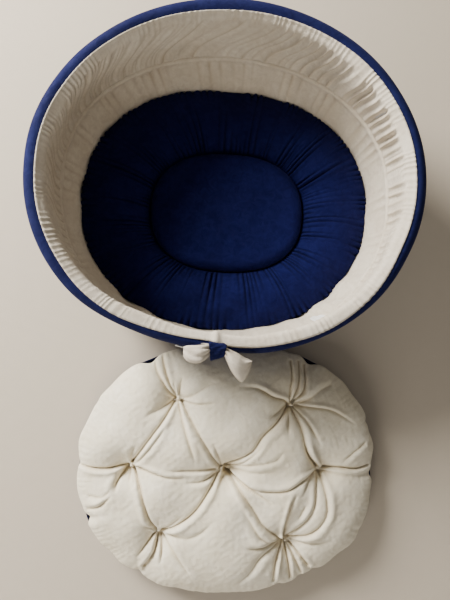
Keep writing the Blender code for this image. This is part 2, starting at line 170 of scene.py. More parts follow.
def hollows(relief, reach, depth, axes=(1,)):
    """0 to 1 where a grid of values lies below what is around it, 1 at this depth."""
    steps = [(step, axis) for axis in axes for step in (-reach, -reach // 2, reach // 2, reach)]
    around = sum(np.roll(relief, step, axis) for step, axis in steps) / len(steps)
    return np.clip((around - relief) / depth, 0, 1)


def add_object(name, data):
    piece = bpy.data.objects.new(name, data)
    bpy.context.scene.collection.objects.link(piece)
    return piece


def make_mesh(name, points, round_trip=True, flip=False, close_rows=False, crease_shade=None):
    """A mesh over a grid of points, (rows, columns, 3) or a tuple of x, y and z grids.

    A round trip joins the last column to the first, and close_rows the last row to the first.

    Crease shade, from 0 to 1 at each point, is painted shade: how far the cloth is darkened in the hollow of a fold."""
    if isinstance(points, tuple):
        points = np.stack(np.broadcast_arrays(*points), axis=-1)
    rows, columns = points.shape[:2]
    index = np.arange(rows * columns).reshape(rows, columns)
    if round_trip:
        index = np.concatenate([index, index[:, :1]], axis=1)
    if close_rows:
        index = np.concatenate([index, index[:1]], axis=0)
    quads = np.stack([index[:-1, :-1], index[:-1, 1:], index[1:, 1:], index[1:, :-1]], axis=-1).reshape(-1, 4)
    if flip:
        quads = quads[:, ::-1]
    mesh = bpy.data.meshes.new(name)
    mesh.from_pydata(points.reshape(-1, 3).tolist(), [], quads.tolist())
    if crease_shade is not None:
        mesh.attributes.new("crease_shade", "FLOAT", "POINT").data.foreach_set("value", crease_shade.astype(np.float32).ravel())
    mesh.shade_smooth()
    return add_object(name, mesh)


def thicken(piece, thickness=CLOTH):
    """Gives a sheet its thickness, behind the surface that shows."""
    solidify = piece.modifiers.new("cloth", "SOLIDIFY")
    solidify.thickness = thickness
    solidify.offset = -1
    return piece


def settle(piece, body, nodes, material):
    """The last step of every piece: its body, the CAD nodes it stands for and its material."""
    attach(piece, body)
    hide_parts(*nodes)
    piece.data.materials.clear()
    piece.data.materials.append(material)


# ---------------------------------------------------------------- materials


def new_material(name):
    material = bpy.data.materials.new(name)
    material.use_nodes = True
    tree = material.node_tree
    return material, tree, tree.nodes["Principled BSDF"]


def set_inputs(tree, node, inputs):
    """Sets each named input to a value, or links it from another node's output."""
    for key, value in inputs.items():
        if isinstance(value, bpy.types.NodeSocket):
            tree.links.new(value, node.inputs[key])
        else:
            node.inputs[key].default_value = value
    return node


def noise(tree, where, scale, detail, roughness, distortion=0.0):
    inputs = {"Vector": where, "Scale": scale, "Detail": detail, "Roughness": roughness, "Distortion": distortion}
    return set_inputs(tree, tree.nodes.new("ShaderNodeTexNoise"), inputs).outputs["Fac"]


def ranged(tree, value, low, high, start=0.3, end=0.7):
    inputs = {"Value": value, "From Min": start, "From Max": end, "To Min": low, "To Max": high}
    return set_inputs(tree, tree.nodes.new("ShaderNodeMapRange"), inputs).outputs["Result"]


def blended(tree, factor, first, second):
    """Mixes two colours, each a tuple or another node's output."""
    node = tree.nodes.new("ShaderNodeMix")
    node.data_type = "RGBA"
    first, second = ((*colour, 1.0) if isinstance(colour, tuple) else colour for colour in (first, second))
    return set_inputs(tree, node, {0: factor, 6: first, 7: second}).outputs[2]


def reckoned(tree, kind, first, second):
    node = tree.nodes.new("ShaderNodeMath")
    node.operation = kind
    return set_inputs(tree, node, {0: first, 1: second}).outputs[0]


def bumped(tree, height, strength, distance):
    inputs = {"Strength": strength, "Distance": distance, "Height": height}
    return set_inputs(tree, tree.nodes.new("ShaderNodeBump"), inputs).outputs["Normal"]


def pile_cloth(name, colour, deep, brushed, sheen, sheen_tint, sheen_roughness, pile=1500, depth=0.0005, specular=0.2):
    """Short-pile cloth: nap brushed in patches, fine pile, thread colour variation and painted shade in creases.

    Pile is the fibres' noise scale, and depth is how far the nap stands up, in metres."""
    material, tree, shader = new_material(name)
    where = tree.nodes.new("ShaderNodeTexCoord").outputs["Object"]
    patches = ranged(tree, noise(tree, where, 16, 4, 0.6, 0.6), 0, 1, 0.36, 0.66)
    nap = ranged(tree, noise(tree, where, 85, 3, 0.6, 1.2), 0, 1, 0.35, 0.68)
    fibres = ranged(tree, noise(tree, where, pile, 2, 0.7), 0, 1, 0.25, 0.75)
    shade = blended(tree, patches, colour, brushed)
    shade = blended(tree, reckoned(tree, "MULTIPLY", nap, 0.45), shade, deep)
    shade = blended(tree, reckoned(tree, "MULTIPLY", fibres, 0.22), shade, deep)
    # Painted shade: the crease attribute darkens the colour towards a deeper tone in the hollows of folds.
    crease_shade_node = tree.nodes.new("ShaderNodeAttribute")
    crease_shade_node.attribute_name = "crease_shade"
    crease_shade_colour = tuple(value * share for value, share in zip(deep, (0.80, 0.74, 0.66)))
    shade = blended(tree, reckoned(tree, "MULTIPLY", crease_shade_node.outputs["Fac"], 0.55), shade, crease_shade_colour)
    height = reckoned(tree, "ADD", fibres, reckoned(tree, "MULTIPLY", nap, 0.8))
    looks = {
        "Base Color": shade,
        "Roughness": ranged(tree, nap, 0.82, 0.97, 0, 1),
        "Specular IOR Level": specular,
        "Sheen Weight": sheen,
        "Sheen Roughness": sheen_roughness,
        "Sheen Tint": (*sheen_tint, 1.0),
        "Normal": bumped(tree, height, 0.55, depth),
    }
    set_inputs(tree, shader, looks)
    return material


def woven_cloth(name, colour, deep, pitch, roughness=0.85):
    """Plain weave: two crossing sets of threads at this pitch in metres, with slubs."""
    material, tree, shader = new_material(name)
    where = tree.nodes.new("ShaderNodeTexCoord").outputs["Object"]
    sets = []
    for axis in ("X", "Y"):
        wave = tree.nodes.new("ShaderNodeTexWave")
        wave.bands_direction = axis
        waves = {"Vector": where, "Scale": TURN / (20 * pitch), "Distortion": 0.8, "Detail": 2.0, "Detail Scale": 1.5}
        sets.append(set_inputs(tree, wave, waves).outputs["Fac"])
    threads = reckoned(tree, "MULTIPLY", *sets)
    slubs = ranged(tree, noise(tree, where, 60, 4, 0.7), 0, 0.5)
    looks = {
        "Base Color": blended(tree, reckoned(tree, "MULTIPLY", threads, slubs), colour, deep),
        "Roughness": roughness,
        "Specular IOR Level": 0.2,
        "Normal": bumped(tree, threads, 0.4, pitch * 0.4),
    }
    set_inputs(tree, shader, looks)
    return material


navy_velvet = pile_cloth(
    "navy_velvet", (0.0060, 0.0085, 0.0560), (0.0024, 0.0034, 0.0250), (0.0090, 0.0130, 0.0800),
    0.08, (0.12, 0.15, 0.50), 0.5, specular=0.12,
)
navy_floor = pile_cloth(
    "navy_floor_velvet", (0.0028, 0.0042, 0.0500), (0.0010, 0.0015, 0.0200), (0.0046, 0.0066, 0.0680),
    0.05, (0.10, 0.13, 0.60), 0.5, specular=0.10,
)
cream_plush = pile_cloth(
    "cream_plush", (0.660, 0.590, 0.485), (0.480, 0.410, 0.320), (0.740, 0.680, 0.580),
    0.15, (1.0, 0.95, 0.87), 0.5, 1100, 0.0007,
)
cream_velvet = pile_cloth(
    "cream_velvet", (0.900, 0.820, 0.640), (0.720, 0.635, 0.460), (0.950, 0.890, 0.740),
    0.18, (1.0, 0.96, 0.88), 0.4, 1700, 0.0005,
)
wadding = pile_cloth(
    "polyester_wadding", (0.850, 0.850, 0.840), (0.700, 0.700, 0.690), (0.900, 0.900, 0.900),
    0.2, (1, 1, 1), 0.6, 500, 0.0020,
)
base_weave = woven_cloth("navy_base_weave", (0.014, 0.026, 0.105), (0.005, 0.010, 0.045), 0.0012)
label_weave = woven_cloth("label_weave", (0.830, 0.830, 0.810), (0.600, 0.600, 0.580), 0.0006)
thread_twist = woven_cloth("thread_twist", (0.760, 0.690, 0.590), (0.520, 0.450, 0.360), 0.0005)

# ---------------------------------------------------------------- the wall's shape

FRONT = -90.0  # degrees round the oval

# How far hand sewing and a soft wall leave each line outside (+) or inside (-) its true oval,
# as (degrees round the oval, millimetres).
RIM_LEAN = (
    (0, 0), (30, -2), (60, 2), (86, 7), (108, 3.5), (130, -1), (152, -2), (170, 0.7), (200, 1.5), (225, 2.8),
    (245, -2.5), (262, -1.5), (268, 0), (272, 0.5), (280, 5), (295, 4), (320, 1.5), (335, -2),
)
MIDDLE_LEAN = (
    (0, 0), (20, 2), (40, -0.5), (70, -3.5), (95, -2.3), (125, 0), (147, 4.5), (170, 0), (195, -3.5), (220, -3),
    (232, 0), (270, 0), (305, 4.5), (328, -1),
)
FLOOR_LEAN = (
    (0, 2.7), (25, 3.2), (50, 0), (70, -6), (90, -8.5), (106, -4), (122, 0), (147, 2), (170, 0), (235, 0),
    (305, 2), (330, 0.6),
)
# How far the rim's seam rolls over to the outside, in degrees round the roll.
SEAM_ROLL = (
    (0, -10), (45, -14), (90, -28), (135, -16), (180, -12), (215, 0), (240, 28), (255, 15),
    (267, 15), (273, 30), (284, 28), (300, 40), (318, 22), (335, 0),
)
# Spare lining at the front, in millimetres. It is pushed outward, into the wall.
FRONT_SLACK = (
    (215, 0), (228, 1.5), (239, 3.2), (250, 1.5), (255.5, 5), (258, 8.5), (264, 8.5), (269.5, 7.5), (273, 9),
    (276, 10), (279.5, 8), (281.5, 4), (288, 4.5), (297, 6.5), (307, 6.5), (322, 3), (338, 0),
)
FLOOR_LEVEL = 0.030  # the height at which the lining meets the floor's ring
ROLL_FOOT = WALL_HEIGHT - ROLL_HEIGHT
ROLL_SHARE = 0.24  # of the upper band's width, the part that lies on the rim's roll


def wall_points(out, height, angle, lining=1.0):
    """Places (out, height) points of the wall round the oval, with its low front and its uneven lean.

    The lining follows its own lean at each seam; the outer cover (0) leans evenly from its foot."""
    front = np.maximum(0.0, -np.sin(angle)) ** 3
    rim = keyed(angle, RIM_LEAN)
    above = smooth(height, MID_HEIGHT, ROLL_FOOT)
    below = smooth(height, FLOOR_LEVEL, MID_HEIGHT)
    inner = rim * above + (1 - above) * (keyed(angle, MIDDLE_LEAN) * below + keyed(angle, FLOOR_LEAN) * (1 - below))
    outer = rim * np.clip(height / ROLL_FOOT, 0, 1) ** 1.6
    # Where the middle seam leans outward, the padding pushes most of that into the outer cover.
    pushed = np.maximum(keyed(angle, MIDDLE_LEAN), 0) * np.exp(-(((height - MID_HEIGHT) / 0.045) ** 2))
    outer = outer + 0.8 * pushed
    push = inner * lining + outer * (1 - lining)
    x, y, out_x, out_y = oval(FLOOR.x + out, FLOOR.y + out, angle, OVAL_POWER)
    z = height * (1 - FRONT_DIP / WALL_HEIGHT * front)
    return np.stack([x + out_x * push, y + out_y * push, z], axis=-1)


def profile_normals(out, height, side):
    """Directions square to the profile, in (out, height), on the left (1) or right (-1) of its travel.

    The left of a profile that runs down the wall is outward, into the wall."""
    d_out, d_height = np.gradient(out, axis=0), np.gradient(height, axis=0)
    size = np.hypot(d_out, d_height)
    return -side * d_height / size, side * d_out / size


def rim_arc(turn):
    """The rim's padded roll, from its inner foot (180 degrees) over the top to its outer foot (0)."""
    centre, reach = (RIM_IN + RIM_OUT) / 2, (RIM_OUT - RIM_IN) / 2
    return centre + reach * np.cos(turn), WALL_HEIGHT - ROLL_HEIGHT * (1 - np.sin(turn))


def seam_turn(angle):
    """Where the rim's seam lies round the roll, with its step where the wall's ends meet."""
    degrees = np.degrees(angle) % 360
    step = 7 * np.tanh((degrees - 269.5) / 1.0) * near(angle, 270, 7)
    return math.pi / 2 - np.radians(keyed(angle, SEAM_ROLL, 4.0, unit=1) + step)


def upper_profile(share, angle):
    """0 at the rim seam, over the crest, to 1 at the middle seam."""
    roll = np.clip(share / ROLL_SHARE, 0, 1)
    fall = np.clip((share - ROLL_SHARE) / (1 - ROLL_SHARE), 0, 1)
    start = seam_turn(angle)
    roll_out, roll_height = rim_arc(start + (math.pi - start) * roll)
    ease = (1 - np.cos(math.pi * fall)) / 2
    out = np.where(share < ROLL_SHARE, roll_out, RIM_IN + (MID_OUT - RIM_IN) * ease)
    height = np.where(share < ROLL_SHARE, roll_height, ROLL_FOOT + (MID_HEIGHT - ROLL_FOOT) * fall)
    return out, height


def middle_seam_draw(distance):
    """How far the cloth is drawn outward at this distance from the middle seam, with a slight swell beside it."""
    groove = 0.0020 * np.exp(-((distance / 0.0018) ** 2))
    swell = 0.0009 * np.exp(-(((distance - 0.0045) / 0.0025) ** 2))
    return groove - swell


def make_upper_band():
    """Plush gathered tightly at the rim seam, then in long slanting folds down to the middle seam."""
    crimps, broads, longs, narrows = 188, 112, 54, 230  # how many of each fold go round the wall
    width = 0.088
    highest = 0.0036  # how far a fold may stand out from the wall
    share, angle = grid(50, 1700)
    out, height = upper_profile(share, angle)
    away, up = profile_normals(out, height, 1)
    shown = smooth(share, 0.12, 0.36) * (1 - smooth(share, 0.94, 1.0))
    # The folds slant, most of all at the back. They are lively on both sides of it and die away at the front.
    slant = 0.08 + 0.20 * near(angle, 103, 33)
    at = angle - slant * smooth(share, 0.12, 1.0)
    lively = np.clip(0.75 + 0.3 * near(angle, 40, 55) + 0.3 * near(angle, 118, 40), 0, 1)
    calm = 1 - 0.8 * near(angle, 270, 62)
    back = near(angle, 112, 42)
    crimp = pleat(crimps * (angle + 0.006 * ripple(angle, 10, 60, 11)) - 4 * share)
    crimp_depth = 0.0014 * (1 - smooth(share, 0.14, 0.45)) * (1 - 0.85 * near(angle, 268, 30))
    crimp_depth = crimp_depth * np.clip(0.6 + 0.35 * ripple(angle, 5, 30, 12), 0.1, 1.4)
    broad = pleat(broads * (at + 0.0045 * ripple(at, 5, 30, 13)), 0.10)
    broad_depth = 0.0043 * lively * calm * np.clip(0.85 + 0.40 * ripple(at, 7, 40, 14), 0.2, 1.5)
    long_fold = pleat(longs * (at + 0.008 * ripple(at, 4, 20, 18)), 0.16)
    broad = broad * (1 - 0.75 * back) + 1.05 * long_fold * back
    narrow = pleat(narrows * (at + 0.003 * ripple(at, 12, 60, 16)), 0.2)
    narrow_depth = 0.0009 * calm * np.clip(0.6 + 0.6 * ripple(at, 9, 50, 17), 0, 1.6)
    slack = 0.0010 * ripple(at, 12, 34, 15) * lively * calm
    slack = slack + 0.0018 * ripple(at, 9, 24, 19) * near(angle, 268, 34) * smooth(share, 0.05, 0.2)
    folds = crimp * crimp_depth + ((broad + 0.42 + 0.12 * back) * broad_depth + narrow * narrow_depth + slack) * shown
    # Folds, bulge, tuck and plump are positive where the cloth goes into the wall.
    folds = np.maximum(folds, -highest)
    bulge = keyed(angle, FRONT_SLACK, 2.0) * smooth(share, 0.09, 0.26) * (1 - smooth(share, 0.45, 1.0))
    # The lining is tucked where the wall's ends meet, behind the bow.
    tuck = -0.0034 * np.exp(-((np.degrees(angle) - 268.6) / 1.1) ** 2) * (1 - smooth(share, 0.3, 0.75))
    plump = 0.0022 * smooth(share, 0.0, 0.07) * (1 - smooth(share, 0.75, 0.98))
    move = folds + bulge + tuck + plump
    draw = middle_seam_draw((1 - share) * width)
    lap = 0.0014 * smooth(share, 0.975, 1.0)
    points = wall_points(out + away * move + draw + lap, height + up * move - lap, angle + 0 * share)
    # Painted shade in the hollows of the folds, for the cloth's crease attribute.
    crease_shade = hollows(folds, 5, 0.0020) * smooth(share, 0.05, 0.2)
    piece = thicken(make_mesh("upper_lining_plush", points, crease_shade=crease_shade))
    settle(piece, "bed", ["lining_upper_band"], cream_plush)


def make_lower_band():
    """Smoother plush below the middle seam, slack at the front. It is moved into the wall where positive."""
    wrinkles, width = 96, 0.075
    share, angle = grid(36, 1500)
    lowest = BASE_TOP + 0.004
    height = MID_HEIGHT + (lowest - MID_HEIGHT) * share + 0 * angle
    fall = np.clip((MID_HEIGHT - height) / (MID_HEIGHT - FLOOR_LEVEL), 0, 1)
    out = MID_OUT * (1 + np.cos(math.pi * fall)) / 2
    away, up = profile_normals(out, height, 1)
    shown = smooth(share, 0.02, 0.16)
    puff = 0.0035 * np.sin(math.pi * np.clip(share / 0.7, 0, 1)) ** 0.7
    wrinkle = pleat(wrinkles * (angle + 0.010 * ripple(angle, 4, 26, 21)) + 2.5 * share, 0.22)
    lively = np.clip(0.3 + near(angle, 125, 45) + 0.5 * near(angle, 30, 50), 0, 1)
    depth = 0.0026 * lively * (1 - 0.6 * smooth(share, 0.1, 0.6))
    depth = depth * np.clip(0.7 + 0.6 * ripple(angle, 4, 26, 22), 0.05, 2)
    soft = 0.0010 * ripple(angle + 0.15 * share, 8, 36, 23) * shown
    slack = 0.3 * keyed(angle, FRONT_SLACK, 2.0) * smooth(share, 0.0, 0.2) * (1 - smooth(share, 0.5, 0.9))
    move = (puff + wrinkle * depth) * shown + soft + slack
    draw = middle_seam_draw(share * width)
    lap = 0.0010 * (1 - smooth(share, 0.0, 0.025))
    points = wall_points(out + away * move + draw + lap, height + up * move + lap, angle + 0 * share)
    # Painted shade in the hollows of the wrinkles, for the cloth's crease attribute.
    crease_shade = hollows(wrinkle * depth * shown, 5, 0.0016)
    piece = thicken(make_mesh("lower_lining_plush", points, crease_shade=crease_shade))
    settle(piece, "bed", ["lining_lower_band"], cream_plush)


def outer_profile(share, angle):
    """0 at the rim seam, over the outer half of the roll, to 1 at the wall's foot."""
    on_roll = 0.2
    roll = np.clip(share / on_roll, 0, 1)
    fall = np.clip((share - on_roll) / (1 - on_roll), 0, 1)
    roll_out, roll_height = rim_arc(seam_turn(angle) * (1 - roll))
    foot = BASE_TOP + 0.0005
    out = np.where(share < on_roll, roll_out, FOOT_OUT + (RIM_OUT - FOOT_OUT) * (1 - fall) ** 0.9)
    height = np.where(share < on_roll, roll_height, foot + (ROLL_FOOT - foot) * (1 - fall))
    return out, height


def make_outer_cover():
    """Navy velvet over the rim and down to the foot, a little full in the middle and drawn in at its seams."""
    share, angle = grid(70, 960)
    out, height = outer_profile(share, angle)
    away, up = np.abs(profile_normals(out, height, -1))
    sag = 0.0010 * ripple(angle + 0.1 * share, 5, 22, 31) * smooth(share, 0.15, 0.5)
    drag = 0.0006 * pleat(54 * (angle + 0.02 * ripple(angle, 3, 15, 32))) * smooth(share, 0.6, 1.0)
    belly = 0.0022 * np.sin(math.pi * smooth(share, 0.2, 1.0)) ** 1.2
    seam = -0.0012 * np.exp(-((share / 0.03) ** 2))
    tuck = -0.0015 * smooth(share, 0.975, 1.0)
    move = sag + drag + belly + seam + tuck
    points = wall_points(out + away * move, height + up * move, angle + 0 * share, 0.0)
    piece = thicken(make_mesh("outer_velvet_cover", points, flip=True))
    settle(piece, "bed", ["outer_wall_cover"], navy_velvet)


def make_wall_wadding():
    """The padding inside the wall: a strip between the lining and the outer cover, its ends behind the bow.

    It keeps this far behind the lining's even surface, or nearer to the cover where the wall is thin. The
    lining's slack at the front goes further back than that, so the wadding shows through it there."""
    behind, cover_gap, least_gap, thinnest = 0.0085, 0.0026, 0.0016, 0.0005
    foot = BASE_TOP + 0.0005
    angle = np.linspace(math.radians(FRONT + 1), math.radians(FRONT + 359), 360)[None, :]
    height = np.linspace(BASE_TOP + 0.006, ROLL_FOOT, 24)[:, None] + 0 * angle
    above = (1 + np.cos(math.pi * np.clip((ROLL_FOOT - height) / (ROLL_FOOT - MID_HEIGHT), 0, 1))) / 2
    below = (1 + np.cos(math.pi * np.clip((MID_HEIGHT - height) / (MID_HEIGHT - FLOOR_LEVEL), 0, 1))) / 2
    skin = np.where(height > MID_HEIGHT, MID_OUT + (RIM_IN - MID_OUT) * above, MID_OUT * below)
    shell = FOOT_OUT + (RIM_OUT - FOOT_OUT) * ((height - foot) / (ROLL_FOOT - foot)) ** 0.9
    lining = wall_points(skin, height, angle)
    cover = wall_points(shell, height, angle, 0.0)
    room = np.linalg.norm(cover - lining, axis=-1, keepdims=True)
    outward = (cover - lining) / room
    near_lining = np.minimum(behind, np.maximum(room - least_gap, 0.75 * room))
    near_cover = np.maximum(room - cover_gap, near_lining + thinnest)
    faces = [lining + outward * near_lining, (lining + outward * near_cover)[::-1]]
    piece = make_mesh("wall_wadding", np.concatenate(faces), round_trip=False, close_rows=True)
    close_ends(piece)
    settle(piece, "bed", ["wall_padding"], wadding)


def close_ends(piece, only_centre=False):
    """Fills the open ends of a grid, or only the small hole inside its first row."""
    mesh = bmesh.new()
    mesh.from_mesh(piece.data)
    ends = [edge for edge in mesh.edges if edge.is_boundary]
    if only_centre:
        ends = [edge for edge in ends if edge.verts[0].index < len(mesh.verts) / 8]
    bmesh.ops.holes_fill(mesh, edges=ends)
    bmesh.ops.recalc_face_normals(mesh, faces=mesh.faces)
    mesh.to_mesh(piece.data)
    mesh.free()
    piece.data.shade_smooth()


def make_base():
    """The woven cloth under the bed, flat on the floor, a little slack towards its edge."""
    share, angle = grid(40, 300, 0.02)
    reach = FOOT_OUT - 0.0008
    x, y, _, _ = oval((FLOOR.x + reach) * share, (FLOOR.y + reach) * share, angle, OVAL_POWER)
    slack = 0.00035 * (1 + np.tanh(ripple(angle, 6, 30, 35))) * smooth(share, 0.3, 0.8)
    piece = make_mesh("base_canvas", (x, y, BASE_TOP - 0.0001 - slack))
    close_ends(piece, only_centre=True)
    thicken(piece, 0.0004)
    settle(piece, "bed", ["base_cloth"], base_weave)


# ---------------------------------------------------------------- the floor


def ring_oval(span, angle):
    """The floor ring's plan, from the centre seam (0) to the wall (1), where it follows the wall's own lean."""
    gap = 0.0006
    x0, y0, _, _ = oval(CENTRE.x + gap, CENTRE.y + gap, angle, CENTRE_POWER)
    x1, y1, out_x, out_y = oval(FLOOR.x - gap, FLOOR.y - gap, angle, OVAL_POWER)
    lean = keyed(angle, FLOOR_LEAN)
    x0, y0 = x0 + CENTRE_SPOT.x, y0 + CENTRE_SPOT.y
    x1, y1 = x1 + out_x * lean, y1 + out_y * lean
    return x0 + (x1 - x0) * span, y0 + (y1 - y0) * span, out_x, out_y


def make_floor_ring():
    """Velvet gathered into the centre seam and into the wall, puffed between them."""
    seam_folds, wall_folds = 116, 128
    share, angle = grid(66, 1300)
    span = share**0.92
    x, y, out_x, out_y = ring_oval(span, angle)
    puff = np.sin(math.pi * np.clip(span, 0, 1)) ** 0.72
    low = FLOOR_HEIGHT - 0.013 + 0.009 * span
    height = low + (RING_CREST - low) * puff
    # Folds run out from the centre seam, each dying away at its own length, and in from the wall.
    bend = 1.5 * ripple(angle + 0.3 * share, 3, 9, 42)
    fold = pleat(seam_folds * (angle + 0.010 * ripple(angle, 4, 24, 41)) + bend, 0.10)
    reach = 0.26 * np.clip(1 + 0.7 * ripple(angle, 6, 40, 47), 0.25, 2.4)
    seam_end = np.exp(-share / reach) * np.clip(0.8 + 0.6 * ripple(angle, 5, 30, 43), 0.05, 2.0)
    lively = np.clip(0.6 + 0.5 * ripple(angle, 5, 30, 44), 0.05, 1.6)
    wall_end = np.exp(-(1 - share) / 0.12) * lively
    rim_fold = pleat(wall_folds * (angle + 0.009 * ripple(angle, 8, 40, 45)), 0.15)
    height = height + 0.0052 * fold * seam_end * smooth(share, 0, 0.03) + 0.0038 * rim_fold * wall_end
    # Painted shade in the hollows of the gathers, for the cloth's crease attribute.
    crease_shade = hollows(height, 5, 0.0014)
    height = height + 0.0009 * ripple(angle + 0.4 * share, 6, 20, 46) * puff
    bulge = 0.0022 * rim_fold * smooth(share, 0.82, 0.97) * lively
    top = np.stack([x + out_x * bulge, y + out_y * bulge, height], axis=-1)
    skirt_out, skirt_in = top[-1:].copy(), top[:1].copy()
    skirt_out[..., 2] = skirt_in[..., 2] = BASE_TOP + 0.006
    points = np.concatenate([skirt_in, top, skirt_out])
    crease_shade = np.concatenate([crease_shade[:1], crease_shade, crease_shade[-1:]])
    piece = thicken(make_mesh("gathered_floor_ring", points, flip=True, crease_shade=crease_shade))
    settle(piece, "bed", ["floor_gathered_ring"], navy_floor)


def make_centre_panel():
    """The flat padded oval in the middle, rolling down into its seam all round."""
    share, angle = grid(80, 480, 0.004)
    gap, edge, seam_depth = 0.0006, 0.15, 0.013
    x, y, _, _ = oval((CENTRE.x - gap) * share, (CENTRE.y - gap) * share, angle + 0 * share, CENTRE_POWER)
    roll = np.clip((1 - share) / edge, 0, 1)
    crown = FLOOR_HEIGHT + 0.0035 * (1 - share**2)
    lumps = 0.0007 * swirl(x, y, 0.05, 0.12, 51) * smooth(1 - share, 0, edge)
    height = crown + lumps - seam_depth * (1 - np.sqrt(1 - (1 - roll) ** 2))
    piece = make_mesh("floor_centre_velvet", (x, y, height))
    close_ends(piece, only_centre=True)
    thicken(piece)
    piece.location = (CENTRE_SPOT.x, CENTRE_SPOT.y, 0)
    settle(piece, "bed", ["floor_centre_panel"], navy_floor)


def stacked(rings):
    """A grid of points from (x, y, height) rings."""
    return np.stack([np.stack(np.broadcast_arrays(*ring), axis=-1)[0] for ring in rings])


def make_floor_wadding():
    """The wadding under the gathered ring and under the centre panel, clear of both and of the base."""
    low, inset = BASE_TOP + 0.0010, 0.0050
    angle = np.linspace(0, TURN, 120, endpoint=False)[None, :]
    margin = inset / (FLOOR.x - CENTRE.x)
    spans = np.linspace(margin, 1 - margin, 14)
    crest = [FLOOR_HEIGHT - 0.016 + (RING_CREST - FLOOR_HEIGHT + 0.008) * math.sin(math.pi * s) ** 0.8 for s in spans]
    rings = [(*ring_oval(span, angle)[:2], tall) for span, tall in zip(spans, crest)]
    rings += [(*ring_oval(spans[index], angle)[:2], low) for index in (-1, 0)]
    piece = make_mesh("floor_ring_wadding", stacked(rings), flip=True, close_rows=True)
    settle(piece, "bed", ["floor_ring_filling"], wadding)
    levels = ((0.02, FLOOR_HEIGHT - 0.004), (0.80, FLOOR_HEIGHT - 0.006), (0.95, FLOOR_HEIGHT - 0.016))
    levels += ((0.95, low), (0.02, low))
    rings = [(*oval(CENTRE.x * s, CENTRE.y * s, angle, CENTRE_POWER)[:2], tall) for s, tall in levels]
    core = make_mesh("floor_centre_wadding", stacked(rings), flip=True)
    close_ends(core)
    core.location = (CENTRE_SPOT.x, CENTRE_SPOT.y, 0)
    settle(core, "bed", ["floor_centre_filling"], wadding)


# ---------------------------------------------------------------- the cushion

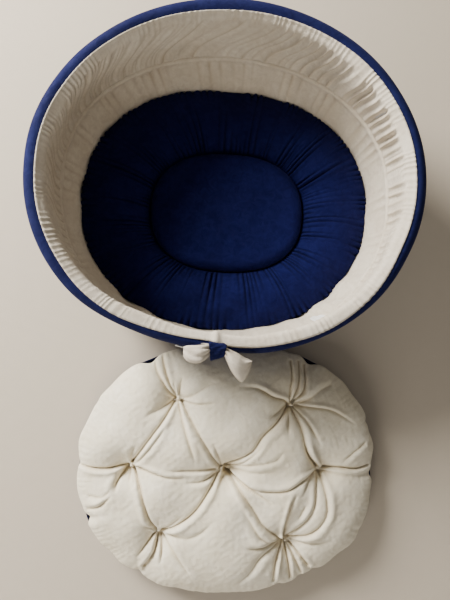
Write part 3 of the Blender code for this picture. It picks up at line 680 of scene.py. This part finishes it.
# Creases and pleats of the cushion's top: depth and width, the side of its travel on which the cloth
# stands up beside it (+1 left, -1 right), then its route as x, y, x, y. In millimetres from the middle.
FOLDS = (
    (7, 4, -1, -77, 103, -88, 113, -98, 129, -107, 145, -110, 157),
    (8, 3.6, -1, -77, 107, -86, 124, -94, 147, -99, 169),
    (4, 3.2, +1, -77, 111, -81, 130),
    (4, 4.5, +1, -73, 107, -70, 122, -67, 138),
    (4, 2.6, +1, -69, 100, -52, 96, -33, 96, -10, 99),
    (4, 8, +1, -65, 103, -50, 109, -26, 124, -6, 128),
    (8, 4.2, +1, -79, 98, -93, 75, -115, 46, -141, 12),
    (5, 4, +1, -88, 70, -102, 48, -127, 18, -139, 9),
    (5, 10, +1, -81, 99, -102, 87, -122, 79),
    (7, 4.2, -1, -70, 100, -54, 72, -37, 43, -21, 16, -12, 2),
    (6, 4, +1, -74, 98, -65, 64, -54, 31, -47, 10),
    (5, 3.6, -1, -24, 44, -14, 18, -10, 2),
    (4, 4.5, +1, -141, 8, -141, 24, -133, 40),
    (10, 3.6, +1, -146, 6, -161, 4, -179, 2, -203, 3, -224, 7),
    (8, 6, -1, -148, 4, -163, -17, -164, -32),
    (4, 3.2, +1, -145, 3, -145, -19),
    (4, 3.2, +1, -142, 3, -136, -27),
    (9, 4.2, -1, -140, 4, -126, -32, -116, -65, -105, -85),
    (5, 3.4, +1, -139, 2, -121, -35),
    (6, 3.2, +1, -140, 6, -114, -1, -85, -8, -53, -8),
    (6, 3.4, -1, -95, 2, -71, 1, -46, 0, -14, 0),
    (5, 4, -1, -66, -16, -37, -15, -13, -2),
    (9, 4.4, +1, -12, -2, -32, -33, -52, -59, -80, -79, -98, -87),
    (4, 4.5, +1, -62, -58, -85, -77, -99, -86),
    (4, 7, +1, -98, -88, -61, -94, -37, -83, -20, -63),
    (8, 4.2, +1, -105, -88, -119, -104, -136, -127),
    (9, 3.6, -1, -103, -89, -108, -116, -123, -138),
    (6, 3.2, -1, -101, -90, -97, -111, -99, -133),
    (5, 4.4, +1, -100, -89, -76, -119, -49, -160),
    (5, 6, -1, -106, -85, -124, -77),
    (7, 4.2, +1, -206, -56, -186, -49, -167, -32),
    (4, 4.5, -1, -203, -37, -182, -36, -169, -23),
    (7, 3.8, +1, -7, -1, 24, -22, 48, -30, 83, -30, 105, -20, 134, -5),
    (5, 5, +1, -7, 1, 20, 9, 42, 27, 53, 41),
    (3, 6, +1, -5, 0, 36, -4, 76, -3),
    (8, 3.2, +1, -7, -2, 24, -24, 46, -36, 69, -52),
    (9, 4.4, -1, -9, -3, 8, -18, 24, -40, 38, -61, 50, -80, 76, -103),
    (4, 5, -1, 14, -44, 33, -77, 49, -99, 73, -106),
    (7, 4.5, -1, 77, -103, 47, -110, 21, -108),
    (9, 3.4, +1, 80, -98, 84, -74, 91, -48, 100, -34),
    (6, 4, +1, 82, -100, 108, -79, 124, -58, 130, -29, 134, -8),
    (7, 5, -1, 85, -101, 121, -92, 142, -68, 143, -39, 137, -8),
    (4, 3.6, -1, 100, -73, 113, -50),
    (4, 3.6, +1, 106, -42, 119, -18, 131, -6),
    (10, 3.4, -1, 138, -3, 165, -2, 192, -5, 212, -2),
    (8, 4.2, -1, 135, -1, 118, 18, 111, 40),
    (9, 3.6, +1, 79, -106, 68, -134, 65, -163),
    (8, 3.6, +1, 81, -106, 86, -130, 91, -161),
    (6, 3.2, +1, 82, -106, 96, -130, 107, -154),
    (7, 3.4, +1, 84, -105, 101, -122, 117, -143),
    (6, 6, +1, 76, -107, 47, -123, 28, -148, 4, -167),
    (4, 6, +1, 84, -103, 123, -108, 158, -105),
    (8, 4, -1, 91, 92, 83, 99, 67, 104, 52, 113, 37, 119, 9, 121),
    (8, 3.4, -1, 93, 95, 94, 114, 97, 133, 96, 155),
    (7, 3.2, -1, 95, 95, 106, 117, 109, 140, 109, 155),
    (8, 3.4, -1, 96, 94, 112, 109, 117, 123, 118, 149),
    (4, 7, +1, 98, 92, 120, 99, 139, 112, 156, 119),
    (5, 3, +1, 98, 90, 130, 87, 155, 82, 180, 68, 194, 59),
    (6, 3.2, +1, 97, 89, 113, 71, 126, 51, 138, 27),
    (9, 5, +1, 95, 87, 108, 57, 115, 26, 131, -1),
    (4, 5, +1, 92, 86, 87, 45),
    (9, 5.4, +1, 91, 87, 71, 65, 51, 48, 33, 26, -7, 3),
    (6, 9, -1, 89, 90, 73, 80, 59, 72),
    (4, 4.5, -1, -5, 2, 51, 9, 72, 16, 81, 32),
    (5, 4, -1, 168, 5, 187, 21, 204, 32),
)
# Tufts joined by a broad hollow.
HOLLOWS = ((0, 2), (0, 3), (1, 3), (1, 4), (2, 3), (3, 4), (2, 5), (3, 5), (3, 6), (4, 6))
# Broad hollows from a tuft out to the edge, as (tuft, degrees).
OUTLETS = ((0, 112), (1, 78), (2, 180), (4, 0), (5, 245), (6, 275))
# Where pleats draw the edge in, as (degrees, depth in millimetres, half width in degrees).
EDGE_NOTCHES = (
    (-159, 7.5, 2.0), (-4, 4.5, 1.8), (18, 2.5, 1.5), (-125, 3.5, 2.0), (120, 7, 3.2), (57, 7, 3.2), (-73, 2.5, 1.6),
    (-64, 2, 1.4), (-57, 3, 1.6), (178, 2.5, 1.6), (150, 1.5, 2), (-30, 1.5, 2), (-100, 1.5, 2),
)


def from_line(x, y, route):
    """Signed distance to a polyline (left is positive), and how far along it the nearest point is."""
    best, signed, place = np.full(x.shape, 1e9), np.zeros(x.shape), np.zeros(x.shape)
    steps = len(route) - 1
    for index in range(steps):
        start, run = route[index], route[index + 1] - route[index]
        length = float(np.hypot(*run))
        share = np.clip(((x - start[0]) * run[0] + (y - start[1]) * run[1]) / length**2, 0, 1)
        off_x, off_y = x - start[0] - share * run[0], y - start[1] - share * run[1]
        away = np.hypot(off_x, off_y)
        side = np.sign(run[0] * off_y - run[1] * off_x)
        closer = away < best
        best = np.where(closer, away, best)
        signed = np.where(closer, away * side, signed)
        place = np.where(closer, (index + share) / steps, place)
    return signed, place


def cushion_frame():
    """The cushion's own axes, in the shared frame."""
    return Matrix.Translation((CUSHION_SPOT.x, CUSHION_SPOT.y, 0)) @ Matrix.Rotation(CUSHION_TURN, 4, "Z")


def tuft_places():
    """The tufts in the cushion's own axes, each a little off its nominal place as hand sewing leaves it."""
    home = cushion_frame().inverted()
    drift = np.array([(13, 5), (7, -6), (-5, 4), (-2, -2), (-4, -5), (-11, 8), (-5, -8)]) / 1000
    return [np.array((home @ tuft)[:2]) + np.array(shift) for tuft, shift in zip(TUFTS, drift)]


def fold_relief(x, y, tufts):
    """Sharp creases, each with the cloth standing up along one side."""
    relief = np.zeros(x.shape)
    to_tuft = np.min([np.hypot(x - tuft[0], y - tuft[1]) for tuft in tufts], axis=0)
    pulled = 0.45 + 0.55 * np.exp(-to_tuft / 0.045)
    for depth, width, side, *route in FOLDS:
        corners = np.array(route, float).reshape(-1, 2) / 1000
        route = eased_rows(corners, (len(corners) - 1) * 4 + 1)
        away, place = from_line(x, y, route)
        wide = width / 1000 * (0.50 + 0.50 * np.clip(to_tuft / 0.030, 0, 1))
        fade = pulled
        for end, rest in ((route[0], 1 - place), (route[-1], place)):
            free = min(np.hypot(*(end - tuft)) for tuft in tufts) > 0.016  # not sewn down
            inside = (abs(end[0]) / CUSHION.x) ** 2 + (abs(end[1]) / CUSHION.y) ** 2 < 0.85
            fade = fade * ((1 - smooth(rest, 0.55, 1.0)) if free and inside else 1)
        valley = np.exp(-((np.abs(away) / (0.50 * wide)) ** 1.15))
        shoulder = np.exp(-(((away * side - 1.5 * wide) / (1.10 * wide)) ** 2))
        relief += depth / 1000 * fade * (0.50 * shoulder - 1.10 * valley)
    return relief


def tuft_gathers(x, y, tufts):
    """Short fine creases all round each tuft."""
    gathers = 11
    relief = np.zeros(x.shape)
    for number, tuft in enumerate(tufts):
        draw = np.random.default_rng(90 + number)
        for step in range(gathers):
            turn = TURN * (step + draw.uniform(-0.3, 0.3)) / gathers
            heading = np.array([math.cos(turn), math.sin(turn)])
            route = [tuft + 0.003 * heading, tuft + draw.uniform(0.014, 0.036) * heading]
            away, place = from_line(x, y, np.array(route))
            relief -= 0.0012 * np.exp(-((np.abs(away) / 0.0014) ** 1.3)) * (1 - smooth(place, 0.3, 1.0))
    return relief


def cushion_sink(x, y, tufts):
    """How far the tufts pull the top down, in round dimples and in broad hollows between them."""
    sink = np.zeros(x.shape)
    for tuft in tufts:
        away = np.hypot(x - tuft[0], y - tuft[1])
        sink += 0.0125 * np.exp(-((away / 0.025) ** 1.2)) + 0.0028 * np.exp(-((away / 0.009) ** 1.6))
        bar = np.hypot(np.maximum(np.abs(x - tuft[0]) - 0.0052, 0), y - tuft[1])
        sink += 0.0026 * np.exp(-((bar / 0.0022) ** 1.4))
    runs = [(tufts[first], tufts[second], 0.0042) for first, second in HOLLOWS]
    for tuft, heading in OUTLETS:
        turn = math.radians(heading)
        end = tufts[tuft] + 0.09 * np.array([math.cos(turn), math.sin(turn)])
        runs.append((tufts[tuft], end, 0.0050))
    for start, end, depth in runs:
        away, _ = from_line(x, y, np.array([start, end]))
        sink += depth * np.exp(-((away / 0.021) ** 2))
    return sink


def cushion_edge(angle, notched):
    """How far the edge stands in or out of its oval; the top's edge is also drawn in where pleats meet it."""
    lumps = 0.0018 * ripple(angle, 3, 9, 61) + 0.0007 * ripple(angle, 14, 34, 62)
    lumps = lumps + 0.0025 * near(angle, -152, 5) + 0.0025 * near(angle, -167, 5)
    if notched:
        for centre, depth, width in EDGE_NOTCHES:
            lumps = lumps - depth / 1000 * near(angle, centre, width)
    return lumps


def dome_profile(rows_share, rise):
    """Radius share and height share along the top's curve from its middle to its edge, evenly by length."""
    turn, power = np.linspace(0, math.pi / 2, 3000), 2.6
    radius, dome = np.sin(turn) ** (2 / power), np.cos(turn) ** (2 / power)
    length = np.concatenate([[0], np.cumsum(np.hypot(np.diff(radius) * CUSHION.x, np.diff(dome) * rise))])
    at = rows_share * length[-1]
    return np.interp(at, length, radius), np.interp(at, length, dome)


def make_cushion_top():
    """Velvet pulled down by seven tufts, creased between them and pleated out to the edge."""
    tufts = tuft_places()
    across, along = np.meshgrid(np.linspace(-1, 1, 332), np.linspace(-1, 1, 276))
    disc_x, disc_y = across * np.sqrt(1 - along**2 / 2), along * np.sqrt(1 - across**2 / 2)
    share, angle = np.hypot(disc_x, disc_y), np.arctan2(disc_y, disc_x)
    rise = CUSHION_TOP - CUSHION_SEAM
    radius, dome = dome_profile(np.clip(share, 0, 1), rise)
    x, y, out_x, out_y = oval(CUSHION.x * radius, CUSHION.y * radius, angle, CUSHION_POWER)
    grow = cushion_edge(angle, True) * radius**6
    x, y = x + out_x * grow, y + out_y * grow
    rim = smooth(dome, 0.10, 0.60)
    height = CUSHION_SEAM + rise * dome + 0.0105 * smooth(dome, 0.30, 1.0)
    height = height - cushion_sink(x, y, tufts) * (0.15 + 0.85 * rim)
    height = height + (fold_relief(x, y, tufts) + tuft_gathers(x, y, tufts)) * (0.35 + 0.65 * rim)
    # Painted shade in the hollows of the creases and tufts, for the cloth's crease attribute.
    crease_shade = hollows(height, 3, 0.0013, (0, 1)) * smooth(dome, 0.10, 0.35)
    height = height + (0.00012 * swirl(x, y, 0.007, 0.016, 63) + 0.0011 * swirl(x, y, 0.05, 0.12, 64)) * rim
    creep = 0.0009 * pleat(120 * (angle + 0.02 * ripple(angle, 5, 30, 65))) * np.exp(-(((dome - 0.3) / 0.25) ** 2))
    height = np.maximum(height + creep, CUSHION_SEAM * 0.7)
    piece = make_mesh("cushion_top_velvet", (x, y, height), round_trip=False, crease_shade=crease_shade)
    thicken(piece)
    piece.matrix_world = cushion_frame()
    settle(piece, "cushion", ["cushion_top_cover"], cream_velvet)
    return piece


def make_cushion_underside():
    """Navy velvet from the edge seam down to the flat that the cushion lies on."""
    share, angle = grid(60, 720, 0.004)
    flat, rows_on_flat = 0.88, 0.55  # of the radius, and of the rows
    turn = np.clip((share - rows_on_flat) / (1 - rows_on_flat), 0, 1) * math.pi / 2
    radius = np.where(share < rows_on_flat, share / rows_on_flat * flat, flat + (1 - flat) * np.sin(turn))
    x, y, out_x, out_y = oval(CUSHION.x * radius, CUSHION.y * radius, angle + 0 * share, CUSHION_POWER)
    grow = (cushion_edge(angle, False) - 0.0012) * radius**6
    height = (CUSHION_SEAM - 0.0004) * (1 - np.cos(turn)) + 0 * angle
    ruck = 0.0006 * pleat(110 * (angle + 0.02 * ripple(angle, 5, 30, 71))) * np.sin(turn * 2)
    x, y = x + out_x * (grow + ruck), y + out_y * (grow + ruck)
    piece = make_mesh("cushion_underside_velvet", (x, y, height), flip=True)
    close_ends(piece, only_centre=True)
    thicken(piece)
    piece.matrix_world = cushion_frame()
    settle(piece, "cushion", ["cushion_underside_cover"], navy_velvet)


def make_cushion_wadding():
    """A low core under the top's deepest tufts, as rings of (share of the radius, height)."""
    angle = np.linspace(0, TURN, 120, endpoint=False)[None, :]
    levels = ((0.02, 0.012), (0.5, 0.012), (0.82, 0.012), (0.93, 0.016))
    levels += ((0.93, 0.022), (0.86, 0.006), (0.4, 0.004), (0.02, 0.004))
    rings = [(*oval(CUSHION.x * s, CUSHION.y * s, angle, CUSHION_POWER)[:2], tall) for s, tall in levels]
    piece = make_mesh("cushion_wadding", stacked(rings), flip=True)
    close_ends(piece)
    piece.matrix_world = cushion_frame()
    settle(piece, "cushion", ["cushion_filling"], wadding)


def thread_mesh(name, paths, radius, sides=8):
    """Round threads along paths, each an array of points, as one mesh."""
    corners, faces = [], []
    turn = np.linspace(0, TURN, sides, endpoint=False)[None, :, None]
    for path in paths:
        along = np.gradient(path, axis=0)
        along /= np.linalg.norm(along, axis=1, keepdims=True)
        side = np.cross(along, (0.0, 0.3, 1.0))
        side /= np.linalg.norm(side, axis=1, keepdims=True)
        over = np.cross(side, along)
        rings = path[:, None] + radius * (np.cos(turn) * side[:, None] + np.sin(turn) * over[:, None])
        first = len(corners)
        corners.extend(rings.reshape(-1, 3).tolist())
        for row in range(len(path) - 1):
            for column in range(sides):
                after = (column + 1) % sides
                low, high = first + row * sides, first + (row + 1) * sides
                faces.append((low + column, low + after, high + after, high + column))
        last = first + (len(path) - 1) * sides
        faces.append(tuple(range(first + sides - 1, first - 1, -1)))
        faces.append(tuple(range(last, last + sides)))
    mesh = bpy.data.meshes.new(name)
    mesh.from_pydata(corners, [], faces)
    mesh.shade_smooth()
    return add_object(name, mesh)


def make_tuft_stitches(cushion):
    """A short bar of three twisted strands sewn across the bottom of each tuft."""
    half_length, radius = 0.0056, 0.00042
    bpy.context.view_layer.update()
    share = np.linspace(-1, 1, 17)
    for number, tuft in enumerate(tuft_places(), 1):
        found, spot, _, _ = cushion.ray_cast(Vector((*tuft, 0.2)), Vector((0, 0, -1)))
        top = spot.z if found else CUSHION_SEAM
        paths = []
        for strand in (-1, 0, 1):
            twist = 9 * share + 2.1 * strand
            y = tuft[1] + 0.0005 * strand + 0.0002 * np.sin(twist)
            z = top + 0.0006 + 0.0002 * np.cos(twist) - 0.0030 * np.abs(share) ** 8
            paths.append(np.stack([tuft[0] + half_length * share, y, z], axis=-1))
        piece = thread_mesh(f"tuft_thread_{number}", paths, radius)
        piece.matrix_world = cushion_frame()
        settle(piece, "cushion", [f"tuft_stitch_{number}"], thread_twist)


# ---------------------------------------------------------------- bow and label


def eased_rows(keys, rows):
    """Smooth values between given rows of numbers."""
    keys = np.array(keys, float)
    at = np.linspace(0, len(keys) - 1, rows)
    low = np.clip(np.floor(at).astype(int), 0, len(keys) - 2)
    share = (at - low)[:, None]
    before = keys[np.maximum(low - 1, 0)]
    after = keys[np.minimum(low + 2, len(keys) - 1)]
    first, second = keys[low], keys[low + 1]
    slope_a, slope_b = (second - before) / 2, (after - first) / 2
    cube, square = share**3, share**2
    return (
        (2 * cube - 3 * square + 1) * first + (cube - 2 * square + share) * slope_a
        + (3 * square - 2 * cube) * second + (cube - square) * slope_b
    )


def loop_tube(name, keys, seed, folds, fold_depth):
    """A stuffed loop through oval sections, gathered where it leaves the knot."""
    path = eased_rows(keys, 90)
    share, angle = grid(90, 96)
    pull = np.exp(-share / 0.34) * smooth(share, 0.0, 0.10)
    wave = pleat(folds * angle + 2.0 * share + seed, 0.12) * pull + 0.18 * ripple(angle + share, 2, 6, seed) * share
    deep = path[:, 3:4] + fold_depth * wave
    tall = path[:, 4:5] + fold_depth * wave
    y = path[:, 1:2] + deep * np.cos(angle)
    z = path[:, 2:3] + tall * np.sin(angle)
    piece = make_mesh(name, (path[:, 0:1], y, z))
    close_ends(piece)
    return piece


def place_bow(piece):
    """Moves a piece from the bow's own axes, across, out from the roll (-Y) and along it, to its place."""
    level = math.cos(BOW_TURN) / ((RIM_OUT - RIM_IN) / 2)
    rise = math.atan2(math.sin(BOW_TURN) / (ROLL_HEIGHT * (1 - FRONT_DIP / WALL_HEIGHT)), level)
    piece.matrix_world = Matrix.Translation(BOW) @ Matrix.Rotation(-rise, 4, "X") @ piece.matrix_world
    return piece


# The loops' sections, from the knot out: the middle's x, y and z, half the depth and half the height.
LEFT_LOOP = np.array((
    (-8.5, 0, 0, 2.6, 4.6), (-12.5, -2.2, -0.5, 6.2, 8.8),
    (-19.5, -4.2, -2.2, 9.2, 12.2), (-28, -4.2, -3.8, 9, 12.4),
    (-36.5, -3, -4, 6.4, 10), (-42.2, -2, -3, 1.6, 5.2),
)) / 1000
RIGHT_LOOP = np.array((
    (7.8, 0, -1, 2.4, 4), (12.2, -1.5, -5.5, 5, 8.2),
    (18, -3.4, -12.8, 7.8, 13.4), (26, -4.6, -20.5, 9.4, 17.8),
    (33.5, -4.4, -26.2, 8.8, 18.6), (39.5, -3.2, -22.6, 6.6, 11.6),
    (43.8, -2, -16.5, 1.8, 2.6),
)) / 1000


def make_bow():
    """Two stuffed loops with a navy back, held by the knot."""
    loops = (("left", LEFT_LOOP, 3, 7, 0.0058), ("right", RIGHT_LOOP, 8, 6, 0.0046))
    for name, keys, seed, folds, depth in loops:
        piece = loop_tube(f"bow_{name}_plush", keys, seed, folds, depth)
        settle(place_bow(piece), "bed", [f"bow_{name}_loop"], cream_plush)
        make_backing(name, keys)
    make_knot()
    make_strap()


def make_backing(name, keys):
    """The navy back of a loop, a thin cloth that shows past its lower edge."""
    rows = eased_rows(keys[:-1], 44)
    across = np.linspace(-1, 1, 26)[None, :]
    x, y, z, deep, tall = (rows[:, index : index + 1] for index in range(5))
    wrap = 0.80 - 0.55 * np.abs(across) ** 3
    x, y, z = x - 0.0012, y + deep * wrap + 0.0010, z - 0.0018 + (tall + 0.0006) * across
    piece = thicken(make_mesh(f"bow_{name}_lining", (x, y, z), round_trip=False), 0.0010)
    settle(place_bow(piece), "bed", [f"bow_{name}_backing"], navy_velvet)


def make_knot():
    """A ribbed velvet band wrapped round the bow's middle."""
    rows, columns = 60, 120
    across = np.linspace(-1, 1, rows)[:, None]
    angle = np.linspace(0, TURN, columns, endpoint=False)[None, :]
    waist = 1 - 0.06 * (1 - across**2)
    ribs = 0.00030 * np.cos(22 * angle + 1.6 * across) + 0.0003 * ripple(angle + across, 2, 7, 81)
    end = 0.86 + 0.14 * np.sqrt(np.clip(1 - np.abs(across) ** 7, 0, 1))
    c, s = np.cos(angle), np.sin(angle)
    y = (KNOT_HALF.y * waist * end + ribs) * np.sign(c) * np.abs(c) ** 0.75
    # It is taller towards its left end, where more cloth is caught in it.
    z = (KNOT_HALF.z * waist * end * (1.04 - 0.30 * across) + ribs) * np.sign(s) * np.abs(s) ** 0.75
    z = z - 0.0020 * (1 - across) / 2
    # The band narrows towards its lower end.
    x = KNOT_HALF.x * across * (1.02 + 0.14 * np.sin(angle))
    knot = make_mesh("bow_knot_velvet", (x, y, z))
    close_ends(knot)
    settle(place_bow(knot), "bed", ["bow_knot"], navy_velvet)


def make_strap():
    """The ribbed strap over the rim that ties the bow to the wall."""
    share = np.linspace(0, 1, 50)[:, None]
    across = np.linspace(-1, 1, 24)[None, :]
    turn = math.radians(74) * (1 - share)
    out, height = rim_arc(turn)
    rib = 0.0005 * np.cos(across * math.pi * 3.5)
    lift = 0.0019 + rib
    x = BOW.x + half_size("bow_strap").x * across * (1.05 - 0.1 * share)
    y = -(FLOOR.y + out + lift * np.cos(turn))
    z = height * (1 - FRONT_DIP / WALL_HEIGHT) + lift * np.sin(turn)
    strap = thicken(make_mesh("bow_strap_velvet", (x, y, z), round_trip=False, flip=True), 0.0014)
    settle(strap, "bed", ["bow_strap"], navy_velvet)


def make_label():
    """A blank folded tape: down from its sewn edge, round a soft fold and back up."""
    low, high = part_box("side_label")
    centre = (low + high) / 2
    share = np.linspace(0, 1, 40)[:, None]
    across = np.linspace(-1, 1, 20)[None, :]
    leg = 0.42  # of the tape's length, each side of the fold
    bend = np.clip((share - leg) / (1 - 2 * leg), 0, 1) * math.pi
    down = np.where(share < leg, share / leg, np.where(share > 1 - leg, (1 - share) / leg, 1))
    x = centre.x + 0.0105 * across
    y = centre.y + 0.0018 - 0.0014 * down - 0.0010 * np.cos(bend) + 0.0004 * across**2 - 0.177 * (x - centre.x)
    z = high.z - (high.z - low.z - 0.0012) * down - 0.0010 * np.sin(bend)
    label = thicken(make_mesh("side_label_tape", (x, y, z), round_trip=False), 0.0004)
    settle(label, "bed", ["side_label"], label_weave)


# ---------------------------------------------------------------- build

make_upper_band()
make_lower_band()
make_outer_cover()
make_wall_wadding()
make_base()
make_floor_ring()
make_centre_panel()
make_floor_wadding()
cushion_top = make_cushion_top()
make_cushion_underside()
make_cushion_wadding()
make_tuft_stitches(cushion_top)
make_bow()
make_label()

# ---------------------------------------------------------------- floor, light and camera


def make_stage():
    """A plain linen floor just under the object."""
    mesh = bmesh.new()
    bmesh.ops.create_grid(mesh, x_segments=2, y_segments=2, size=12.0)
    data = bpy.data.meshes.new("stage_floor")
    mesh.to_mesh(data)
    mesh.free()
    floor = add_object("stage_floor", data)
    floor.location.z = cad_low.z - 0.0002
    data.materials.append(woven_cloth("stage_linen", (0.600, 0.525, 0.425), (0.520, 0.450, 0.355), 0.0016, 0.95))


def area_light(name, place, aim, size, power, colour):
    data = bpy.data.lights.new(name, "AREA")
    data.shape = "DISK"
    data.size = size
    data.energy = power
    data.color = colour
    light = add_object(name, data)
    light.location = place
    light.rotation_euler = (Vector(aim) - Vector(place)).to_track_quat("-Z", "Y").to_euler()


def make_lights():
    area_light("window", (-1.38, 0.96, 0.92), (0, -0.15, 0.05), 1.0, 132, (1.0, 0.965, 0.905))
    area_light("fill", (-0.6, -1.7, 0.75), (0.05, -0.45, 0), 1.0, 15, (1.0, 0.95, 0.88))
    world = bpy.data.worlds.new("studio")
    world.use_nodes = True
    background = world.node_tree.nodes["Background"]
    background.inputs["Color"].default_value = (1.0, 0.950, 0.880, 1.0)
    background.inputs["Strength"].default_value = 0.22
    bpy.context.scene.world = world


def make_camera():
    """The photo's own place and angle, fitted to the outlines of the floor, the rim and the cushion."""
    data = bpy.data.cameras.new("camera")
    data.sensor_width = 36
    data.lens = 27
    camera = add_object("camera", data)
    camera.location = (-0.0182, -0.2041, 0.7253)
    camera.rotation_euler = [math.radians(angle) for angle in (4.269, -2.210, 2.188)]
    bpy.context.scene.camera = camera


make_stage()
make_lights()
make_camera()
